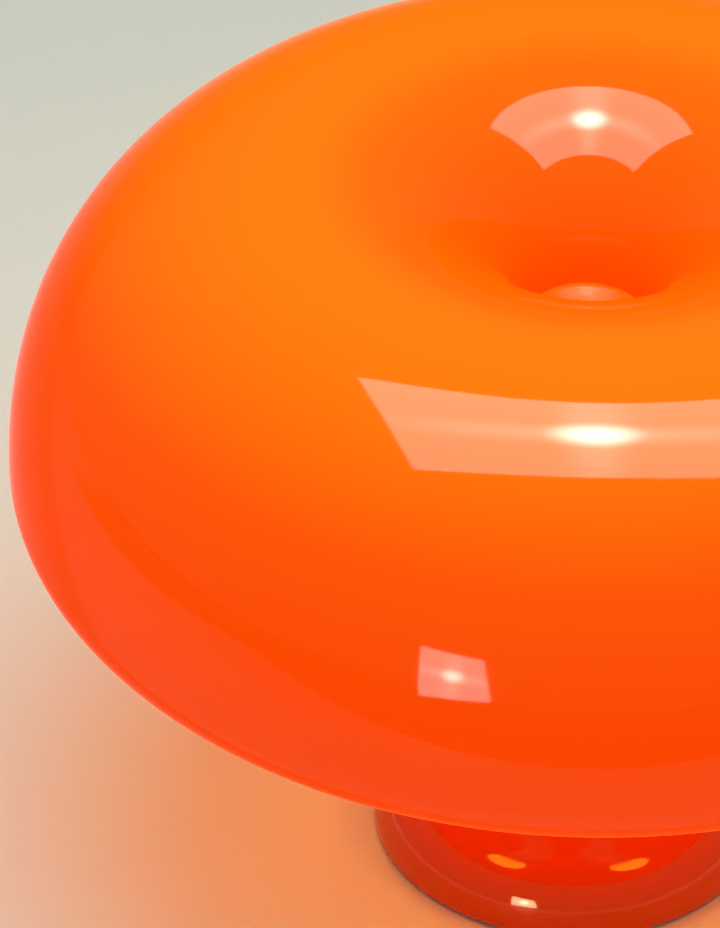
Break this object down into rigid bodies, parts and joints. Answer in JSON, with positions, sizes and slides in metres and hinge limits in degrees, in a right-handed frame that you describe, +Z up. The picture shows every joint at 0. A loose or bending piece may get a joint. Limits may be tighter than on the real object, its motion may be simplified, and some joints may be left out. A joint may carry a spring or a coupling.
{
  "type": "mushroom lamp",
  "caption": "Low mushroom lamp: a wide glossy domed shade with a central funnel, clamped by a round knob onto a flared foot, with globe bulbs standing out under the shade.",
  "frame": {"origin": "on the floor, on the lamp's axis", "axes": "+Z up along the lamp's axis; the cord inlet faces +Y, the picture looks from the front left, from halfway between -X and -Y"},
  "size_m": [0.32, 0.32, 0.223],
  "materials": {
    "shade_acrylic": "high gloss, slightly translucent",
    "knob_acrylic": "high gloss",
    "foot_plastic": "high gloss",
    "cover_plastic": "matte, fine grain",
    "pad_rubber": "matte",
    "grommet_rubber": "matte",
    "washer_rubber": "soft, matte",
    "ballast_iron": "painted casting",
    "zinc_steel": "zinc plated",
    "bracket_steel": "white enamel",
    "seat_plastic": "satin",
    "holder_plastic": "satin, heat resistant",
    "contact_brass": "bright",
    "cap_brass": "nickel washed",
    "bulb_glass": "frosted, lit",
    "block_plastic": "satin",
    "lead_silicone": "silicone sheath"
  },
  "bodies": {
    "base": {"foot": "foot_plastic", "bottom_plate": "cover_plastic", "rubber_pads": "pad_rubber", "ballast": "ballast_iron", "plate_screws": "zinc_steel", "block_screws": "zinc_steel", "centre_tube": "zinc_steel", "bottom_nut": "zinc_steel", "top_nut": "zinc_steel", "lock_washers": "zinc_steel", "shade_seat": "seat_plastic", "holder_bracket": "bracket_steel", "holder_screws": "zinc_steel", "terminal_block": "block_plastic", "terminal_screws": "zinc_steel", "cord_grommet": "grommet_rubber", "lamp_holder_1": "holder_plastic", "holder_shell_1": "contact_brass", "holder_contact_1": "contact_brass", "holder_lead_1": "lead_silicone", "lamp_holder_2": "holder_plastic", "holder_shell_2": "contact_brass", "holder_contact_2": "contact_brass", "holder_lead_2": "lead_silicone", "lamp_holder_3": "holder_plastic", "holder_shell_3": "contact_brass", "holder_contact_3": "contact_brass", "holder_lead_3": "lead_silicone", "lamp_holder_4": "holder_plastic", "holder_shell_4": "contact_brass", "holder_contact_4": "contact_brass", "holder_lead_4": "lead_silicone"},
    "shade": {"shade": "shade_acrylic"},
    "washer": {"knob_washer": "washer_rubber"},
    "knob": {"retaining_knob": "knob_acrylic", "knob_insert": "contact_brass"},
    "bulb_1": {"bulb_glass_1": "bulb_glass", "bulb_cap_1": "cap_brass"},
    "bulb_2": {"bulb_glass_2": "bulb_glass", "bulb_cap_2": "cap_brass"},
    "bulb_3": {"bulb_glass_3": "bulb_glass", "bulb_cap_3": "cap_brass"},
    "bulb_4": {"bulb_glass_4": "bulb_glass", "bulb_cap_4": "cap_brass"}
  },
  "joints": [
    {"name": "shade_lift", "type": "slide", "parent": "base", "child": "shade", "axis": [0, 0, 1], "range_m": [0, 0.15]},
    {"name": "knob_rise", "type": "slide", "parent": "shade", "child": "washer", "axis": [0, 0, 1], "range_m": [0, 0.006]},
    {"name": "knob_turn", "type": "hinge", "parent": "washer", "child": "knob", "pos_m": [0, 0, 0.166], "axis": [0, 0, 1], "range_deg": [0, 2160]},
    {"name": "bulb_1_out", "type": "slide", "parent": "base", "child": "bulb_1", "axis": [0, -1, 0], "range_m": [0, 0.02]},
    {"name": "bulb_2_out", "type": "slide", "parent": "base", "child": "bulb_2", "axis": [1, 0, 0], "range_m": [0, 0.02]},
    {"name": "bulb_3_out", "type": "slide", "parent": "base", "child": "bulb_3", "axis": [0, 1, 0], "range_m": [0, 0.02]},
    {"name": "bulb_4_out", "type": "slide", "parent": "base", "child": "bulb_4", "axis": [-1, 0, 0], "range_m": [0, 0.02]}
  ],
  "couplings": [
    {"joint": "knob_rise", "follows": "knob_turn", "m_per_rad": 0.00015915}
  ]
}
